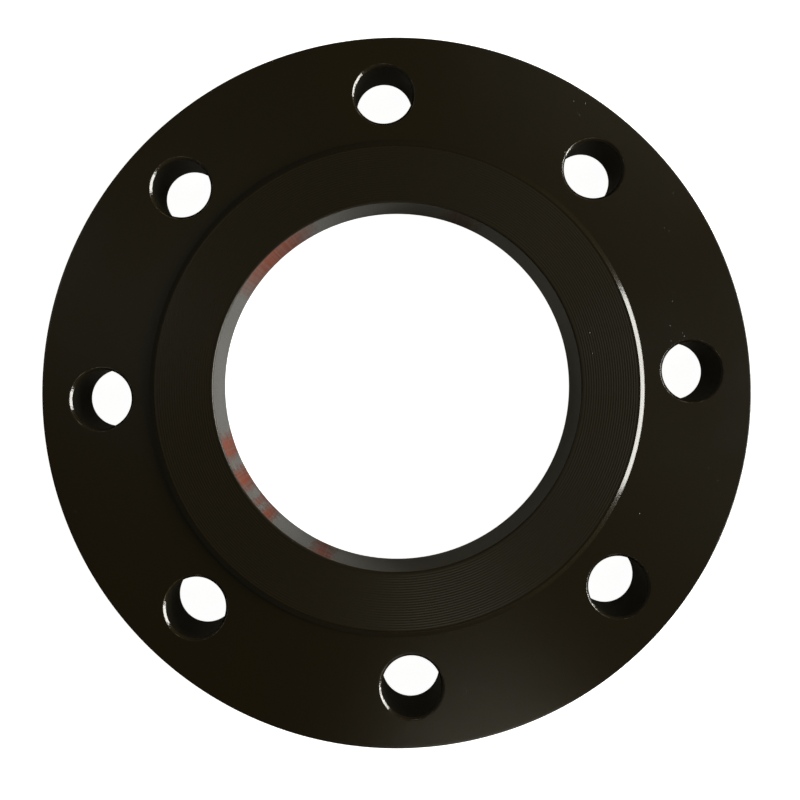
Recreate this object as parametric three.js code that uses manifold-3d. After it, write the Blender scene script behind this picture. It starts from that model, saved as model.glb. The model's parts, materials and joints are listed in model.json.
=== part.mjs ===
// Raised-face slip-on flange, 4 inch (DN 100), class 150: one steel ring with eight bolt holes.
// Millimetres, +Z up. The ring lies on its back face, centred on the bore axis, raised face up.

import * as THREE from "three";
import { mergeVertices } from "three/addons/utils/BufferGeometryUtils.js";
import Module from "manifold-3d";

// Driving dimensions
const OUTSIDE_DIAMETER = 228.6;
const BOLT_CIRCLE_DIAMETER = 190.5;
const BOLT_HOLE_DIAMETER = 19.05;
const BOLT_HOLE_COUNT = 8;
const BORE_DIAMETER = 118.2;
const FLANGE_THICKNESS = 22.3;
const RAISED_FACE_HEIGHT = 1.6;

// The raised face is nominally 157.2 mm across. Its flat ends inside that, at the top of a slope, and the slope
// ends outside it, on a short wall that stands on the flange face.
const RAISED_FLAT_DIAMETER = 156.2;
const STEP_WALL_DIAMETER = 159.2;
const STEP_WALL_HEIGHT = 0.6;

// Broken edges: each is a 45 degree chamfer of this leg
const RIM_EDGE = 0.4;
const BORE_EDGE = 0.5;
const BOLT_HOLE_EDGE = 0.75;

// Facets round the ring and round one hole; both are multiples of eight, to keep the symmetry
const RING_SEGMENTS = 128;
const HOLE_SEGMENTS = 32;

// How far a hole's cutter stands out past each face
const CUTTER_OVERRUN = 1;

const overallHeight = FLANGE_THICKNESS + RAISED_FACE_HEIGHT;
const rimRadius = OUTSIDE_DIAMETER / 2;
const boreRadius = BORE_DIAMETER / 2;
const boltHoleRadius = BOLT_HOLE_DIAMETER / 2;
const raisedFlatRadius = RAISED_FLAT_DIAMETER / 2;
const stepWallRadius = STEP_WALL_DIAMETER / 2;

// Thin gloss black paint, very slightly warm
const BLACK_ENAMEL = new THREE.MeshStandardMaterial({
  color: 0x1e1c17,
  roughness: 0.32,
  metalness: 0.0,
});

// A solid turned round Z from an outline of [radius, height] points, listed anticlockwise
function turned(outline, segments) {
  const points = outline.map(([radius, height]) => new THREE.Vector2(radius, height));
  const geometry = new THREE.LatheGeometry(points, segments);
  geometry.rotateX(Math.PI / 2);
  return geometry;
}

// The ring's section: back face, rim, low face, step, raised face and bore, closed on itself
function ringBlank() {
  const section = [
    [boreRadius + BORE_EDGE, 0],
    [rimRadius - RIM_EDGE, 0],
    [rimRadius, RIM_EDGE],
    [rimRadius, FLANGE_THICKNESS - RIM_EDGE],
    [rimRadius - RIM_EDGE, FLANGE_THICKNESS],
    [stepWallRadius, FLANGE_THICKNESS],
    [stepWallRadius, FLANGE_THICKNESS + STEP_WALL_HEIGHT],
    [raisedFlatRadius, overallHeight],
    [boreRadius + BORE_EDGE, overallHeight],
    [boreRadius, overallHeight - BORE_EDGE],
    [boreRadius, BORE_EDGE],
  ];
  return turned([...section, section[0]], RING_SEGMENTS);
}

// A bolt hole's drill, flared at both faces to break the hole's edges
function boltHoleCutter() {
  const flare = boltHoleRadius + BOLT_HOLE_EDGE + CUTTER_OVERRUN;
  const outline = [
    [0, -CUTTER_OVERRUN],
    [flare, -CUTTER_OVERRUN],
    [boltHoleRadius, BOLT_HOLE_EDGE],
    [boltHoleRadius, FLANGE_THICKNESS - BOLT_HOLE_EDGE],
    [flare, FLANGE_THICKNESS + CUTTER_OVERRUN],
    [0, FLANGE_THICKNESS + CUTTER_OVERRUN],
  ];
  return turned(outline, HOLE_SEGMENTS);
}

// Loads manifold-3d, which makes the boolean cuts
async function loadBooleans() {
  const wasm = await Module();
  wasm.setup();
  return wasm;
}

// A closed geometry as a manifold solid
function solidOf(wasm, geometry) {
  geometry.deleteAttribute("normal");
  geometry.deleteAttribute("uv");
  const merged = mergeVertices(geometry);
  const mesh = new wasm.Mesh({
    numProp: 3,
    vertProperties: new Float32Array(merged.attributes.position.array),
    triVerts: new Uint32Array(merged.index.array),
  });
  return new wasm.Manifold(mesh);
}

// A manifold solid as a geometry
function geometryOf(solid) {
  const mesh = solid.getMesh();
  const geometry = new THREE.BufferGeometry();
  geometry.setAttribute("position", new THREE.BufferAttribute(mesh.vertProperties, 3));
  geometry.setIndex(new THREE.BufferAttribute(mesh.triVerts, 1));
  geometry.computeVertexNormals();
  return geometry;
}

// The finished ring: the blank with its bolt holes drilled, the first one on the +X axis
function flangeRing(wasm) {
  let ring = solidOf(wasm, ringBlank());
  for (let i = 0; i < BOLT_HOLE_COUNT; i += 1) {
    const angle = (i * 2 * Math.PI) / BOLT_HOLE_COUNT;
    const cutter = boltHoleCutter();
    cutter.translate(BOLT_CIRCLE_DIAMETER / 2, 0, 0);
    cutter.rotateZ(angle);
    ring = ring.subtract(solidOf(wasm, cutter));
  }
  const mesh = new THREE.Mesh(geometryOf(ring), BLACK_ENAMEL);
  mesh.name = "flange_ring";
  return mesh;
}

const flange = new THREE.Group();
flange.add(flangeRing(await loadBooleans()));

export default flange;
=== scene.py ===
"""A raised-face slip-on pipe flange in gloss black paint, lying on its back face on a pale floor.

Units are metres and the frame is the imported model's: +Z up along the bore, back face on Z = 0.
The one CAD node, flange_ring, is replaced by a finely meshed ring of the same sizes, which adds the grooved
gasket face, the softened edges and the paint.
"""

import json
import math

import bmesh
import bpy
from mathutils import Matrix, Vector, noise

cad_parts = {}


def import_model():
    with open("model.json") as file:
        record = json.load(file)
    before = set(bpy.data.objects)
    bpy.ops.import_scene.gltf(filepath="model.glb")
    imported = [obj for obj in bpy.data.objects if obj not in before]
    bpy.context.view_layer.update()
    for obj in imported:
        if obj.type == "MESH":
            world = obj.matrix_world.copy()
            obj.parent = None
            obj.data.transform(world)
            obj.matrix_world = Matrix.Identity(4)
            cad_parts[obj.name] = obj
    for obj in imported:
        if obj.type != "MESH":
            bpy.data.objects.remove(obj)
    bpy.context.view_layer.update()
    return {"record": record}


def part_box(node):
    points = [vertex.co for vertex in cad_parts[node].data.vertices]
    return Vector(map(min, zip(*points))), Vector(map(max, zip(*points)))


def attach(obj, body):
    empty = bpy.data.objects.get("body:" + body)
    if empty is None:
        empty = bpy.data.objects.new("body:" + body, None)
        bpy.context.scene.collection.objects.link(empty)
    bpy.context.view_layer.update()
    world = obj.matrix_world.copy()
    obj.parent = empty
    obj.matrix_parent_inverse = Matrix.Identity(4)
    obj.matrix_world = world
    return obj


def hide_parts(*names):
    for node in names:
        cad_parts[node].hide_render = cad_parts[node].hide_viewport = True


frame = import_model()
_, ring_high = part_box("flange_ring")

MM = 0.001

# Sizes of the ring, as radii and heights; the outside sizes come from the frame
RIM_RADIUS = ring_high.x
TOP = ring_high.z
STEP_HEIGHT = 1.6 * MM
FACE = TOP - STEP_HEIGHT
STEP_RADIUS = 78.85 * MM
BORE_RADIUS = 59.1 * MM
HOLE_RADIUS = 9.525 * MM

# The raised face's edge: a slope, steeper at its crest than at its brow, then a short wall. The slopes are
# in degrees, each corner has a radius of STEP_SOFT, and STEP_MARGIN parts the slope from the sectors outside.
STEP_WIDTH = 1.5 * MM
CREST_SLOPE = 37
BROW_SLOPE = 31
STEP_SOFT = 0.08 * MM
STEP_MARGIN = 0.65 * MM

# The widths of the broken edges. A hole's is a share of HOLE_EDGE that wanders round the hole with two waves,
# each given as (share, fineness), and is smaller on the back face.
RIM_EDGE = 0.4 * MM
BORE_EDGE = 0.5 * MM
HOLE_EDGE = 0.8 * MM
HOLE_EDGE_SHARE = 0.9
HOLE_EDGE_WAVES = [(0.12, 1.3), (0.05, 8.0)]
BACK_EDGE_SHARE = 0.6

# How far apart in the noise two holes next to each other are
HOLE_NOISE_STEP = 3.7

# The gasket face's concentric grooves, shallow and V-shaped: one step down and one step up
GROOVE_PITCH = 0.8 * MM
GROOVE_DEPTH = 0.05 * MM
GROOVE_MARGIN = 0.5 * MM
GROOVE_STEPS = 2

# The mesh: eight sectors, one round each bolt hole, between an inner and an outer circle
SECTORS = 8
SECTOR_STEPS = 40
RING_STEPS = SECTORS * SECTOR_STEPS
SPOKE_STEPS = 12

# Rows of faces up each wall, and steps round a corner and round a whole edge
BORE_ROWS = 6
RIM_ROWS = 5
HOLE_ROWS = 4
ARC_STEPS = 3
ROUND_STEPS = 6

# Loops of faces round each hole, which crowd towards it
FACE_LOOPS = 6
CROWDING = 1.5

# Extra loops stand this far from an edge, to keep the flat beside it flat in shading
SUPPORT = 0.4 * MM

# In widths of an edge break: the radius that softens its corners, and how far out from the wall it is over
SOFTNESS = 0.3
EDGE_REACH = 1.2

# Faces that meet at more than this many degrees are shaded as a sharp edge
SHARP_ANGLE = 12

SECTOR_INNER = STEP_RADIUS + STEP_WIDTH / 2 + STEP_MARGIN
SECTOR_OUTER = RIM_RADIUS - RIM_EDGE * (1 + SOFTNESS) - SUPPORT

# Material slots of the ring's mesh
FLAT, GASKET, SIDE, BORE, STEP, EDGE, CREST = range(7)


def hole_centres():
    """The bolt holes' centres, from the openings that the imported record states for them."""
    openings = frame["record"]["physics"]["openings"]
    boxes = [o["box_m"] for o in openings if o["name"].startswith("bolt_hole")]
    return [Vector(((lo[0] + hi[0]) / 2, (lo[1] + hi[1]) / 2)) for lo, hi in boxes]


def cosine(angle):
    """The cosine of an angle in degrees."""
    return math.cos(math.radians(angle))


def sine(angle):
    """The sine of an angle in degrees."""
    return math.sin(math.radians(angle))


def arc(centre_x, centre_y, radius, start, end, steps):
    """Points on an arc from start to end, in degrees, both ends included."""
    angles = [start + (end - start) * i / steps for i in range(steps + 1)]
    return [(centre_x + radius * cosine(angle), centre_y + radius * sine(angle)) for angle in angles]


def arc_from(point, radius, start, end, steps):
    """The same, for an arc that starts at a given point."""
    x, y = point
    return arc(x - radius * cosine(start), y - radius * sine(start), radius, start, end, steps)


def unit_bevel():
    """A 45 degree edge break of leg 1 with softened ends, from the face to the wall.

    Each point is (distance in from the wall, distance down from the face).
    """
    far = 1 + SOFTNESS * math.tan(math.radians(22.5))
    face_end = arc(far, SOFTNESS, SOFTNESS, -90, -135, ARC_STEPS)
    wall_end = arc(SOFTNESS, far, SOFTNESS, -135, -180, ARC_STEPS)
    return face_end + wall_end


# An edge break and a rounded edge, and the slots of the band that leads to each point of the edge break
BEVEL = unit_bevel()
ROUND = arc(1, 1, 1, -90, -180, ROUND_STEPS)
UPPER_SLOTS = [FLAT] + ARC_STEPS * [CREST] + (ARC_STEPS + 1) * [EDGE]
LOWER_SLOTS = [SIDE] + (2 * ARC_STEPS + 1) * [EDGE]


class RingMesh:
    """Collects vertices and faces; patches that meet share the loop of vertices between them."""

    def __init__(self):
        self.points = []
        self.faces = []
        self.slots = []

    def point(self, x, y, z):
        """Adds a vertex and returns its index."""
        self.points.append((x, y, z))
        return len(self.points) - 1

    def circle(self, radius, height):
        """A loop about the bore, which starts on the border between the last sector and the first."""
        loop = []
        for i in range(RING_STEPS):
            angle = 2 * math.pi * (i - SECTOR_STEPS / 2) / RING_STEPS
            loop.append(self.point(radius * math.cos(angle), radius * math.sin(angle), height))
        return loop

    def band(self, first, second, slot):
        """Joins two closed loops of equal length."""
        for i, start in enumerate(first):
            after = (i + 1) % len(first)
            self.faces.append((start, first[after], second[after], second[i]))
            self.slots.append(slot)

    def turned(self, loop, outline, slot):
        """Continues from a loop along an outline of (radius, height) points and returns the last loop."""
        for radius, height in outline:
            following = self.circle(radius, height)
            self.band(loop, following, slot)
            loop = following
        return loop

    def spokes(self, height):
        """The vertices along each border between two sectors, without the two ends."""
        reach = SECTOR_OUTER - SECTOR_INNER
        radii = [SECTOR_INNER + reach * i / SPOKE_STEPS for i in range(1, SPOKE_STEPS)]
        spokes = []
        for sector in range(SECTORS):
            angle = 2 * math.pi * (sector - 0.5) / SECTORS
            spokes.append([self.point(r * math.cos(angle), r * math.sin(angle), height) for r in radii])
        return spokes


def bore_bottom_outline():
    """From the back face to the bore wall."""
    outline = [(BORE_RADIUS + BORE_EDGE + SUPPORT, 0)]
    return outline + [(BORE_RADIUS + BORE_EDGE * a, BORE_EDGE * b) for a, b in ROUND]


def bore_wall_outline():
    """Up the bore."""
    low = BORE_EDGE + SUPPORT
    high = TOP - low
    return [(BORE_RADIUS, low + (high - low) * i / BORE_ROWS) for i in range(BORE_ROWS + 1)]


def gasket_face_outline():
    """From the bore wall over its edge and out across a whole number of grooves."""
    edge = [(BORE_RADIUS + BORE_EDGE * a, TOP - BORE_EDGE * b) for a, b in reversed(ROUND)]
    start = BORE_RADIUS + BORE_EDGE + GROOVE_MARGIN
    end = STEP_RADIUS - STEP_WIDTH / 2 - GROOVE_MARGIN
    steps = round((end - start) / GROOVE_PITCH) * GROOVE_STEPS
    grooves = []
    for i in range(steps + 1):
        depth = GROOVE_DEPTH * (i % GROOVE_STEPS)
        grooves.append((start + (end - start) * i / steps, TOP - depth))
    return edge + grooves


def step_outline():
    """Down the raised face's edge: crest, slightly hollow slope, brow, wall and foot."""
    crest_angle = 90 - CREST_SLOPE
    brow_angle = 90 - BROW_SLOPE
    flat_end = STEP_RADIUS - STEP_WIDTH / 2 - STEP_SOFT * cosine(crest_angle)
    hollow = STEP_WIDTH / (cosine(crest_angle) - cosine(brow_angle))
    crest = arc_from((flat_end, TOP), STEP_SOFT, 90, crest_angle, ARC_STEPS)
    slope = arc_from(crest[-1], hollow, 180 + crest_angle, 180 + brow_angle, ARC_STEPS)
    brow = arc_from(slope[-1], STEP_SOFT, brow_angle, 0, ARC_STEPS)
    wall = brow[-1][0]
    foot = arc(wall + STEP_SOFT, FACE + STEP_SOFT, STEP_SOFT, 180, 270, ARC_STEPS)
    return crest[:-1] + slope + brow[1:] + foot + [(wall + 2 * STEP_SOFT, FACE)]


def rim_outlines():
    """From the bolting face over the rim to the back face, in three parts."""
    upper = [(RIM_RADIUS - RIM_EDGE * a, FACE - RIM_EDGE * b) for a, b in ROUND]
    lower = [(RIM_RADIUS - RIM_EDGE * a, RIM_EDGE * b) for a, b in reversed(ROUND)]
    low = RIM_EDGE + SUPPORT
    high = FACE - low
    wall = [(RIM_RADIUS, high + (low - high) * i / RIM_ROWS) for i in range(RIM_ROWS + 1)]
    return upper, wall, lower


def hole_edge(hole, angle):
    """The width of a hole's edge break at an angle: it wanders, as one made by hand does."""
    place = Vector((math.cos(angle), math.sin(angle), HOLE_NOISE_STEP * hole))
    wander = sum(share * noise.noise(place * waves) for share, waves in HOLE_EDGE_WAVES)
    return HOLE_EDGE * (HOLE_EDGE_SHARE + wander)


def sector_border(inner, outer, spokes, sector):
    """The closed loop of vertices round one sector."""
    start = sector * SECTOR_STEPS
    across = [(start + i) % RING_STEPS for i in range(SECTOR_STEPS + 1)]
    following = spokes[(sector + 1) % SECTORS]
    inner_arc = [inner[i] for i in across]
    outer_arc = [outer[i] for i in reversed(across)]
    return inner_arc + following + outer_arc + spokes[sector][::-1]


def drill(mesh, hole, centre, upper, lower):
    """Fills one sector's two faces round its bolt hole and lines the hole, from border to border."""
    ends = [Vector(mesh.points[i][:2]) for i in upper]
    angles = [math.atan2(*(end - centre).yx) for end in ends]
    edges = [hole_edge(hole, angle) for angle in angles]
    outward = [Vector((math.cos(angle), math.sin(angle))) for angle in angles]
    rims = [
        centre + (HOLE_RADIUS + EDGE_REACH * edge + SUPPORT) * direction
        for edge, direction in zip(edges, outward)
    ]

    def face_loop(share, height):
        """A loop on a face, a share of the way from the hole to the sector's border."""
        spots = [rim.lerp(end, share) for rim, end in zip(rims, ends)]
        return [mesh.point(spot.x, spot.y, height) for spot in spots]

    def wall_loop(height, out=0.0, rise=0.0):
        """A loop on the hole's wall or edge, moved out and up by so many widths of the edge break."""
        loop = []
        for edge, direction in zip(edges, outward):
            spot = centre + (HOLE_RADIUS + out * edge) * direction
            loop.append(mesh.point(spot.x, spot.y, height + rise * edge))
        return loop

    shares = [(1 - i / FACE_LOOPS) ** CROWDING for i in range(1, FACE_LOOPS + 1)]
    low = 2 * HOLE_EDGE
    high = FACE - low
    loops = [(upper, FLAT)]
    loops += [(face_loop(share, FACE), FLAT) for share in shares]
    for (out, down), slot in zip(BEVEL, UPPER_SLOTS):
        loops.append((wall_loop(FACE, out, -down), slot))
    for i in range(HOLE_ROWS + 1):
        loops.append((wall_loop(high + (low - high) * i / HOLE_ROWS), SIDE))
    for (out, up), slot in zip(reversed(BEVEL), LOWER_SLOTS):
        loops.append((wall_loop(0, BACK_EDGE_SHARE * out, BACK_EDGE_SHARE * up), slot))
    loops += [(face_loop(share, 0), FLAT) for share in reversed(shares)]
    loops += [(lower, FLAT)]
    for (first, _), (second, slot) in zip(loops, loops[1:]):
        mesh.band(first, second, slot)


def ring_mesh():
    """The whole ring as one closed mesh."""
    mesh = RingMesh()
    back_inner = mesh.circle(SECTOR_INNER, 0)
    loop = mesh.turned(back_inner, bore_bottom_outline(), FLAT)
    loop = mesh.turned(loop, bore_wall_outline(), BORE)
    loop = mesh.turned(loop, gasket_face_outline(), GASKET)
    loop = mesh.turned(loop, step_outline(), STEP)
    face_inner = mesh.turned(loop, [(SECTOR_INNER, FACE)], FLAT)

    face_outer = mesh.circle(SECTOR_OUTER, FACE)
    upper, wall, lower = rim_outlines()
    loop = mesh.turned(face_outer, upper, FLAT)
    loop = mesh.turned(loop, wall + lower[:1], SIDE)
    back_outer = mesh.turned(loop, lower[1:] + [(SECTOR_OUTER, 0)], FLAT)

    face_spokes = mesh.spokes(FACE)
    back_spokes = mesh.spokes(0)
    for sector, centre in enumerate(hole_centres()):
        upper_border = sector_border(face_inner, face_outer, face_spokes, sector)
        lower_border = sector_border(back_inner, back_outer, back_spokes, sector)
        drill(mesh, sector, centre, upper_border, lower_border)
    return mesh


def add_to_scene(name, data):
    """An object of the given data, linked to the scene."""
    made = bpy.data.objects.new(name, data)
    bpy.context.scene.collection.objects.link(made)
    return made


def ring_object(materials):
    """The ring as a smooth-shaded object, with its faces pointing out and its grooves sharp."""
    made = ring_mesh()
    data = bpy.data.meshes.new("flange_ring_painted")
    data.from_pydata(made.points, [], made.faces)
    for material in materials:
        data.materials.append(material)
    data.polygons.foreach_set("material_index", made.slots)
    shell = bmesh.new()
    shell.from_mesh(data)
    bmesh.ops.recalc_face_normals(shell, faces=shell.faces)
    shell.to_mesh(data)
    shell.free()
    data.shade_smooth()
    data.set_sharp_from_angle(angle=math.radians(SHARP_ANGLE))
    return add_to_scene("flange_ring_painted", data)


class Nodes:
    """A short way to write the node tree of a material or a world."""

    def __init__(self, owner):
        owner.use_nodes = True
        self.tree = owner.node_tree
        self.tree.nodes.clear()

    def add(self, kind, inputs=None, **settings):
        """Adds a node; each input is a plain value or another node's output."""
        node = self.tree.nodes.new(kind)
        for key, value in settings.items():
            setattr(node, key, value)
        for key, value in (inputs or {}).items():
            if isinstance(value, bpy.types.NodeSocket):
                self.tree.links.new(value, node.inputs[key])
            else:
                node.inputs[key].default_value = value
        return node

    def math(self, operation, first, second=0.0):
        """One operation on one or two numbers."""
        return self.add("ShaderNodeMath", {0: first, 1: second}, operation=operation).outputs[0]

    def span(self, value, low, high, new_low, new_high):
        """Carries a value from one range to another, held at the ends."""
        inputs = {"Value": value, "From Min": low, "From Max": high, "To Min": new_low, "To Max": new_high}
        return self.add("ShaderNodeMapRange", inputs, clamp=True).outputs["Result"]

    def noise(self, vector, scale, detail=3.0, roughness=0.5):
        """Cloudy noise in space."""
        inputs = {"Vector": vector, "Scale": scale, "Detail": detail, "Roughness": roughness}
        return self.add("ShaderNodeTexNoise", inputs).outputs["Fac"]

    def line_noise(self, distance, scale, detail=2.0):
        """Noise along one distance only, as tool marks are."""
        inputs = {"W": distance, "Scale": scale, "Detail": detail}
        return self.add("ShaderNodeTexNoise", inputs, noise_dimensions="1D").outputs["Fac"]

    def blend(self, share, first, second):
        """Mixes two colours: the first where the share is 0, the second where it is 1."""
        inputs = {"Factor": share, "A": first, "B": second}
        return self.add("ShaderNodeMix", inputs, data_type="RGBA").outputs["Result"]

    def bump(self, height, distance, below=None):
        """The normal of a height field, on top of the bumps below it."""
        inputs = {"Height": height, "Distance": distance, "Strength": 1.0}
        if below is not None:
            inputs["Normal"] = below
        return self.add("ShaderNodeBump", inputs).outputs["Normal"]


# Colours of the paint, two for each kind of surface, which mix in soft clouds. All are one black paint: the
# raised face's copy is lighter as painted sheen, the walls' copy darker as painted shade, and the bore's
# copy lighter and warmer as a painted reflection.
FACE_PAINT = [(0.0071, 0.0051, 0.002, 1), (0.0056, 0.004, 0.0015, 1)]
GASKET_PAINT_LIT = [(0.0077, 0.0057, 0.0022, 1), (0.0066, 0.0048, 0.0019, 1)]
SIDE_PAINT_SHADED = [(0.0032, 0.0023, 0.0009, 1), (0.0026, 0.0019, 0.0007, 1)]
BORE_PAINT_REFLECTION_TINT = [(0.0085, 0.0055, 0.0035, 1), (0.006, 0.004, 0.0026, 1)]
# Lighter steel on the hole crests: partly worn paint and partly a painted highlight line along the edge
BARE_STEEL_AND_GLINT = (0.085, 0.075, 0.06, 1)
# The red of the smears in the bore: a painted reflection in the gloss, not a colour of the paint
RED_REFLECTION_COLOUR = (0.13, 0.026, 0.011, 1)

# How fine each texture is, per metre; the streaks of the painted red reflection are per degree round the bore
CLOUDS = 28.0
WAVES = 90.0
ORANGE_PEEL = 1100.0
TOOL_MARKS = 1900.0
LUMPS = 1300.0
CREST_PATCHES = 240.0
NIBS = 420.0
NIB_PATCHES = 38.0
RED_REFLECTION_RAGS = 260.0
RED_REFLECTION_PATCHES = 170.0
RED_REFLECTION_STREAKS = 0.9

# How high each bump stands; tool marks run round the bore, and are rougher on a wall than on a face
WAVE_HEIGHT = 0.02 * MM
PEEL_HEIGHT = 0.014 * MM
FACE_MARK_HEIGHT = 0.004 * MM
WALL_MARK_HEIGHT = 0.01 * MM
NIB_HEIGHT = 0.2 * MM

# How much rougher the clouds and the painted red reflection make the paint, and how much gloss it takes away
CLOUD_ROUGHNESS = 0.05
RED_REFLECTION_ROUGHNESS = 0.4
RED_REFLECTION_GLOSS_LOSS = 0.42

# A quarter turn, from along the tool marks to across them
ACROSS_MARKS = 0.25

PAINT_IOR = 1.5

# Smears of painted red reflection in the bore, as (angle, half width, strength), in degrees anticlockwise
# from +X. Their ragged edges wander over RAG_WIDTH degrees, and fade over a least width and a share of
# their half width.
RAG_WIDTH = 9.0
LEAST_FADE = 0.7
FADE_SHARE = 0.4
RED_REFLECTION_SMEARS = [
    (197.3, 3.2, 0.9),
    (208.6, 3.2, 1.0),
    (217.4, 0.9, 0.8),
    (222.0, 1.9, 0.9),
    (243.0, 3.0, 0.8),
    (131.0, 12.0, 0.85),
    (66.0, 5.0, 0.4),
]


def nib_height(n, place):
    """Specks of dust under the paint: scattered domes, 1 at the top of each, in a few patches."""
    cells = n.add("ShaderNodeTexVoronoi", {"Vector": place, "Scale": NIBS}).outputs["Distance"]
    dome = n.span(cells, 0.0, 0.1, 1, 0)
    patch = n.span(n.noise(place, NIB_PATCHES, 2.0), 0.6, 0.7, 0, 1)
    return n.math("MULTIPLY", dome, patch)


def red_reflection_share(n, place, x, y):
    """How much painted red reflection shows at a place in the bore: streaky smears with ragged, fading ends.
    """
    angle = n.math("MULTIPLY", n.math("ARCTAN2", y, x), 180 / math.pi)
    rags = n.math("SUBTRACT", n.noise(place, RED_REFLECTION_RAGS, 4.0, 0.7), 0.5)
    ragged = n.math("MULTIPLY", rags, RAG_WIDTH)
    patchy = n.span(n.noise(place, RED_REFLECTION_PATCHES), 0.3, 0.55, 0.75, 1)
    streaks = n.span(n.line_noise(angle, RED_REFLECTION_STREAKS, 3.0), 0.35, 0.6, 0.6, 1)
    total = 0.0
    for centre, half, strength in RED_REFLECTION_SMEARS:
        from_centre = n.math("SUBTRACT", angle, centre)
        inputs = {0: from_centre, 1: 180.0, 2: -180.0}
        turned = n.add("ShaderNodeMath", inputs, operation="WRAP").outputs[0]
        edge = n.math("ADD", n.math("ABSOLUTE", turned), ragged)
        fade = LEAST_FADE + FADE_SHARE * half
        total = n.math("MAXIMUM", total, n.span(edge, half + fade, half - fade, 0, strength))
    return n.math("MULTIPLY", n.math("MULTIPLY", total, patchy), streaks)


def paint_normal(n, place, distance, mark_height, peel_height, lump_height):
    """The paint's surface: slow waves, orange peel, tool marks along a distance, nibs and lumps."""
    normal = n.bump(n.noise(place, WAVES, 2.0), WAVE_HEIGHT)
    normal = n.bump(n.noise(place, ORANGE_PEEL, 3.0, 0.6), peel_height, normal)
    normal = n.bump(n.line_noise(distance, TOOL_MARKS), mark_height, normal)
    normal = n.bump(nib_height(n, place), NIB_HEIGHT, normal)
    if lump_height:
        normal = n.bump(n.noise(place, LUMPS, 2.0), lump_height, normal)
    return normal


def enamel(
    name,
    paint,
    roughness,
    wall=False,
    peel=PEEL_HEIGHT,
    spread=0.5,
    gloss=0.5,
    lumps=0.0,
    patchy=False,
    painted_red=False,
):
    """Gloss black paint, thin enough for the turned marks to show.

    paint is its two colours and roughness that of clean paint. The marks follow the height on a wall and the
    radius on a face, and spread is how far they draw a highlight out across themselves. peel is the height of
    the orange peel, gloss is the specular level, and lumps is the height of the beads that the paint leaves
    on an edge. The patches of lighter steel are partly worn paint and partly a painted highlight line, and
    the red smears are a painted reflection.
    """
    material = bpy.data.materials.new(name)
    n = Nodes(material)
    place = n.add("ShaderNodeTexCoord").outputs["Object"]
    x, y, z = n.add("ShaderNodeSeparateXYZ", {0: place}).outputs
    radius = n.math("SQRT", n.math("ADD", n.math("MULTIPLY", x, x), n.math("MULTIPLY", y, y)))
    distance, mark_height = (z, WALL_MARK_HEIGHT) if wall else (radius, FACE_MARK_HEIGHT)

    cloud = n.noise(place, CLOUDS, 4.0)
    colour = n.blend(n.span(cloud, 0.35, 0.65, 0, 1), *paint)
    rough = n.span(cloud, 0.3, 0.7, roughness, roughness + CLOUD_ROUGHNESS)
    # Patches of lighter steel: partly worn paint and partly a painted highlight line
    if patchy:
        bare_and_glint = n.span(n.noise(place, CREST_PATCHES, 4.0, 0.7), 0.5, 0.66, 0.04, 1)
        colour = n.blend(bare_and_glint, colour, BARE_STEEL_AND_GLINT)
    # Smears of painted red reflection, which also roughen the paint and dull its gloss
    if painted_red:
        share = red_reflection_share(n, place, x, y)
        colour = n.blend(share, colour, RED_REFLECTION_COLOUR)
        rough = n.math("ADD", rough, n.math("MULTIPLY", share, RED_REFLECTION_ROUGHNESS))
        gloss = n.math("SUBTRACT", gloss, n.math("MULTIPLY", share, RED_REFLECTION_GLOSS_LOSS))

    shader = n.add(
        "ShaderNodeBsdfPrincipled",
        {
            "Base Color": colour,
            "Roughness": rough,
            "Normal": paint_normal(n, place, distance, mark_height, peel, lumps),
            "IOR": PAINT_IOR,
            "Specular IOR Level": gloss,
            "Anisotropic": spread,
            "Anisotropic Rotation": ACROSS_MARKS,
            "Tangent": n.add("ShaderNodeTangent", direction_type="RADIAL", axis="Z").outputs["Tangent"],
        },
    )
    n.add("ShaderNodeOutputMaterial", {"Surface": shader.outputs["BSDF"]})
    return material


def ring_materials():
    """The ring's materials, in the order of its slots."""
    return [
        enamel("enamel_turned", FACE_PAINT, 0.19),
        # A lighter copy of the paint, as painted sheen on the raised face
        enamel("enamel_grooved", GASKET_PAINT_LIT, 0.28, peel=0.003 * MM, spread=0.0, gloss=0.35),
        # A darker copy of the paint, as painted shade on the rim and the holes' walls
        enamel("enamel_rim", SIDE_PAINT_SHADED, 0.22, wall=True),
        # A warmer, lighter copy of the paint as a painted reflection, and smears of painted red reflection
        enamel("enamel_bore", BORE_PAINT_REFLECTION_TINT, 0.2, wall=True, painted_red=True),
        enamel("enamel_step", FACE_PAINT, 0.15, gloss=0.37, lumps=0.012 * MM),
        enamel("enamel_edge", FACE_PAINT, 0.12, lumps=0.08 * MM),
        # Lighter steel patches on the crests: partly worn paint and partly a painted highlight line
        enamel("enamel_crest", FACE_PAINT, 0.2, lumps=0.05 * MM, patchy=True),
    ]


# The floor's own colour, and its glow as the camera and as everything else sees it
FLOOR_COLOUR = (0.67, 0.69, 0.7, 1)
FLOOR_SEEN_GLOW = (0.97, 0.97, 0.97, 1)
FLOOR_FAINT_GLOW = (0.003, 0.002, 0.001, 1)

# Half the floor's side, and how far it lies below the flange
FLOOR_HALF = 3.0
FLOOR_GAP = 0.05 * MM


def floor_material():
    """A pale matt floor, which glows for the camera, so that it stays near white in shadow."""
    material = bpy.data.materials.new("pale_floor")
    n = Nodes(material)
    seen = n.add("ShaderNodeLightPath").outputs["Is Camera Ray"]
    paper = n.add("ShaderNodeBsdfDiffuse", {"Color": FLOOR_COLOUR})
    glow = n.add("ShaderNodeEmission", {"Color": n.blend(seen, FLOOR_FAINT_GLOW, FLOOR_SEEN_GLOW)})
    both = n.add("ShaderNodeAddShader", {0: paper.outputs[0], 1: glow.outputs[0]})
    n.add("ShaderNodeOutputMaterial", {"Surface": both.outputs[0]})
    return material


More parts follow.
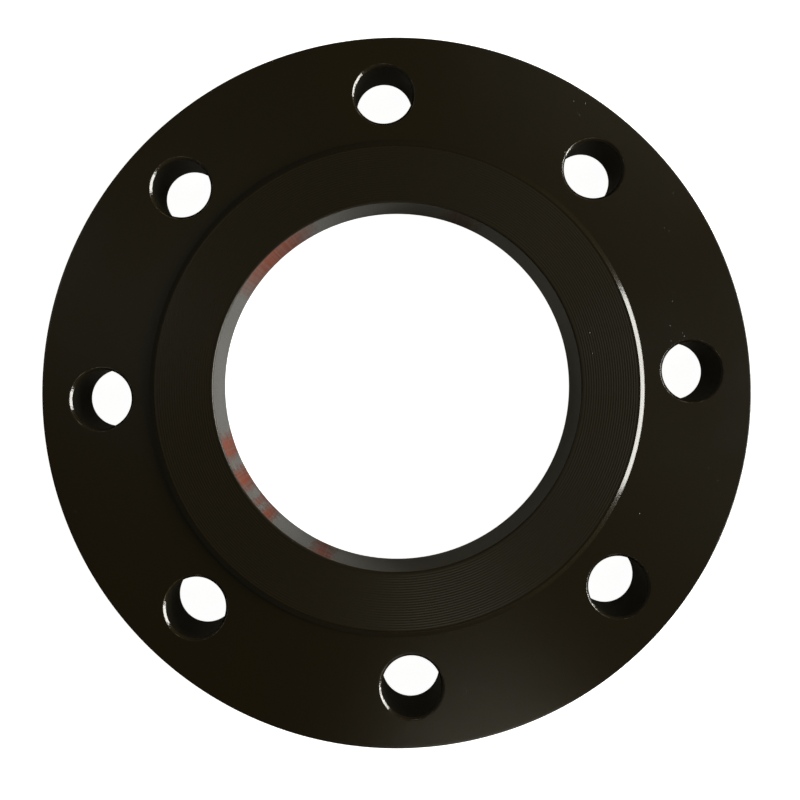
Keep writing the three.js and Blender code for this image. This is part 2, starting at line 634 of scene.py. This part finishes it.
def floor():
    """A square floor, just under the flange."""
    data = bpy.data.meshes.new("floor")
    corners = [(-1, -1), (1, -1), (1, 1), (-1, 1)]
    data.from_pydata([(FLOOR_HALF * x, FLOOR_HALF * y, -FLOOR_GAP) for x, y in corners], [], [(0, 1, 2, 3)])
    data.materials.append(floor_material())
    sheet = add_to_scene("floor", data)


# The camera stands close to the bore's axis, turned a little, in degrees, and shifted to keep the flange in
# the frame
LENS = 45.0
SENSOR = 36.0
CAMERA_PLACE = (-0.7 * MM, 3.0 * MM, 345.3 * MM)
CAMERA_TURN = (3.65, -0.3, -2.73)
CAMERA_SHIFT = -0.11
CAMERA_CLIP = 0.01


def camera():
    """The camera, looking down at the raised face."""
    data = bpy.data.cameras.new("camera")
    data.lens = LENS
    data.sensor_width = SENSOR
    data.shift_y = CAMERA_SHIFT
    data.clip_start = CAMERA_CLIP
    seen_from = add_to_scene("camera", data)
    seen_from.location = CAMERA_PLACE
    seen_from.rotation_euler = [math.radians(angle) for angle in CAMERA_TURN]
    bpy.context.scene.camera = seen_from


# Lamps, as (name, azimuth, elevation, distance, width, height, radiance, colour). Angles are in degrees, and
# azimuths run anticlockwise from the camera's right.
LAMPS = [
    ("window", -1.5, 18, 1.5, 1.3, 0.75, 22, (1, 0.987, 0.92)),
    ("lower_window", -76, 58, 1.6, 0.37, 0.37, 2.3, (1, 0.94, 0.76)),
    ("upper_window", 52, 58, 1.6, 0.6, 0.6, 0.32, (1, 0.96, 0.78)),
    ("left_lamp", 165, 48, 1.6, 0.4, 0.4, 2.1, (1, 0.96, 0.88)),
    ("ceiling", 165, 82, 1.6, 0.25, 0.25, 0.5, (0.9, 0.96, 1)),
]


def softbox(name, azimuth, elevation, distance, width, height, radiance, colour):
    """A rectangular lamp that faces the flange."""
    turn = CAMERA_TURN[2] + azimuth
    level = cosine(elevation)
    towards = Vector((cosine(turn) * level, sine(turn) * level, sine(elevation)))
    data = bpy.data.lights.new(name, "AREA")
    data.shape = "RECTANGLE"
    data.size = width
    data.size_y = height
    data.energy = radiance * width * height * math.pi
    data.color = colour
    lamp = add_to_scene(name, data)
    lamp.location = towards * distance
    lamp.rotation_mode = "QUATERNION"
    lamp.rotation_quaternion = towards.to_track_quat("Z", "Y")


# The room's colours: near the horizon, overhead, and overhead on its dark side
HORIZON = (0.13, 0.116, 0.083, 1)
OVERHEAD = (0.116, 0.1, 0.056, 1)
DARK_OVERHEAD = (0.056, 0.047, 0.024, 1)
WHITE = (1, 1, 1, 1)

# Where the dark side lies, in degrees anticlockwise from +X, how far towards it the room darkens, and how
# high the horizon's colour gives way to the one overhead
DARK_SIDE = 240
DARK_FADE = (0.05, 0.27)
HORIZON_FADE = (0.2, 0.7)


def world():
    """A dim warm room, darker on one side, which the camera sees as white."""
    made = bpy.data.worlds.new("room")
    n = Nodes(made)
    direction = n.add("ShaderNodeTexCoord").outputs["Generated"]
    height = n.add("ShaderNodeSeparateXYZ", {0: direction}).outputs["Z"]
    inputs = {0: direction, 1: (cosine(DARK_SIDE), sine(DARK_SIDE), 0)}
    lean = n.add("ShaderNodeVectorMath", inputs, operation="DOT_PRODUCT").outputs["Value"]
    above = n.blend(n.span(lean, *DARK_FADE, 0, 1), OVERHEAD, DARK_OVERHEAD)
    room = n.blend(n.span(height, *HORIZON_FADE, 0, 1), HORIZON, above)
    seen = n.add("ShaderNodeLightPath").outputs["Is Camera Ray"]
    background = n.add("ShaderNodeBackground", {"Color": n.blend(seen, room, WHITE)})
    n.add("ShaderNodeOutputWorld", {"Surface": background.outputs[0]})
    bpy.context.scene.world = made


bpy.context.scene.view_settings.view_transform = "Standard"
camera()
world()
for lamp in LAMPS:
    softbox(*lamp)
floor()
ring = ring_object(ring_materials())
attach(ring, "root")
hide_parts("flange_ring")
